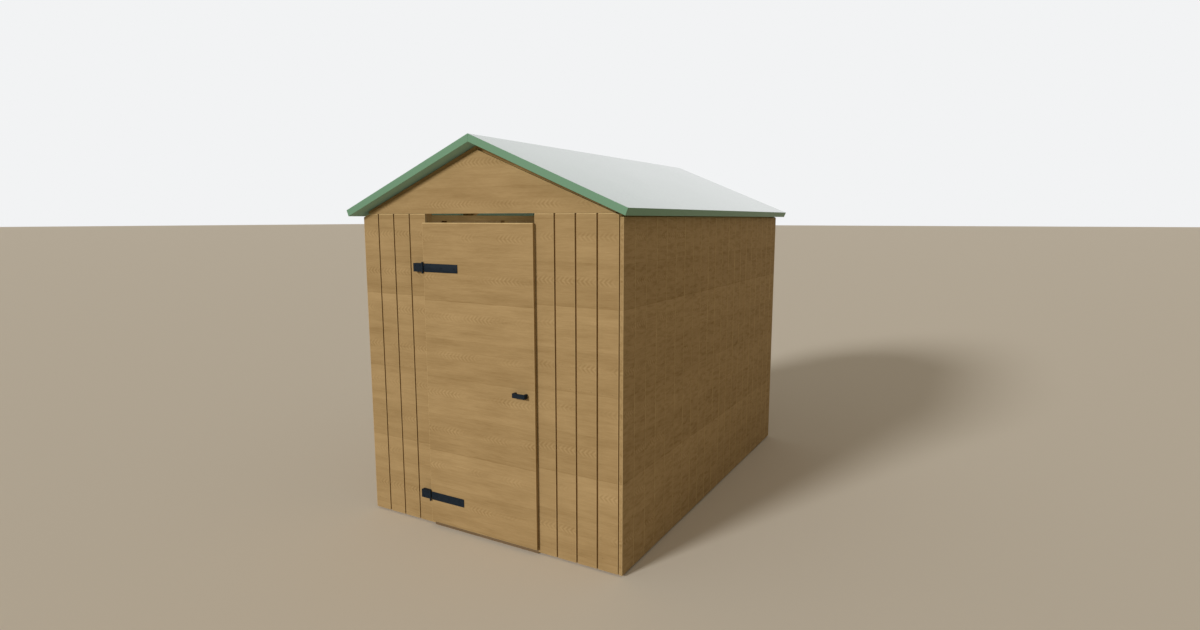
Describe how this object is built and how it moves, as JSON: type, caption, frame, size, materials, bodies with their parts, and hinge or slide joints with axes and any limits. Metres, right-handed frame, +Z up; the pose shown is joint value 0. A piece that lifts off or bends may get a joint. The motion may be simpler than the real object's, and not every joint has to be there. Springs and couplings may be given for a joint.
{
  "type": "garden shed",
  "caption": "Timber garden shed with vertical board walls, a plain door on two strap hinges with a bar handle, and a green two-slope roof on rafters.",
  "frame": {"origin": "on the ground, under the middle of the roof", "axes": "+X to the right of someone facing the door, +Y from the front wall to the rear wall, +Z up"},
  "size_m": [1.928, 2.874, 2.3167],
  "materials": {
    "cladding_boards": "sawn softwood boards, pale brown stain",
    "frame_timber": "sawn softwood framing",
    "floor_boards": "planed softwood boards",
    "roof_green": "smooth green paint, semi-gloss",
    "black_iron": "black japanned iron"
  },
  "bodies": {
    "shed": {"floor_bearers": "frame_timber", "floor_deck": "floor_boards", "front_wall_left": "cladding_boards", "front_wall_right": "cladding_boards", "rear_wall": "cladding_boards", "front_gable": "cladding_boards", "rear_gable": "cladding_boards", "left_wall": "cladding_boards", "right_wall": "cladding_boards", "door_sill": "cladding_boards", "front_sole_plates": "frame_timber", "front_studs": "frame_timber", "door_posts": "frame_timber", "front_noggings": "frame_timber", "front_head_rail": "frame_timber", "rear_sole_plate": "frame_timber", "rear_studs": "frame_timber", "rear_noggings": "frame_timber", "rear_head_rail": "frame_timber", "left_sole_plate": "frame_timber", "left_studs": "frame_timber", "left_noggings": "frame_timber", "left_wall_plate": "frame_timber", "right_sole_plate": "frame_timber", "right_studs": "frame_timber", "right_noggings": "frame_timber", "right_wall_plate": "frame_timber", "ridge_beam": "frame_timber", "front_rafters": "frame_timber", "rear_rafters": "frame_timber", "mid_rafters": "frame_timber", "roof_panel_left": "roof_green", "roof_panel_right": "roof_green", "upper_hinge_packer": "black_iron", "upper_hinge_flap": "black_iron", "upper_hinge_pin": "black_iron", "lower_hinge_packer": "black_iron", "lower_hinge_flap": "black_iron", "lower_hinge_pin": "black_iron"},
    "door": {"door_leaf": "cladding_boards", "door_ledges": "frame_timber", "door_braces": "frame_timber", "upper_hinge_strap": "black_iron", "lower_hinge_strap": "black_iron", "door_handle": "black_iron"}
  },
  "joints": [
    {"name": "door_hinge", "type": "hinge", "parent": "shed", "child": "door", "pos_m": [-0.404, -1.389, 0.875], "axis": [0, 0, -1], "range_deg": [0, 175]}
  ]
}
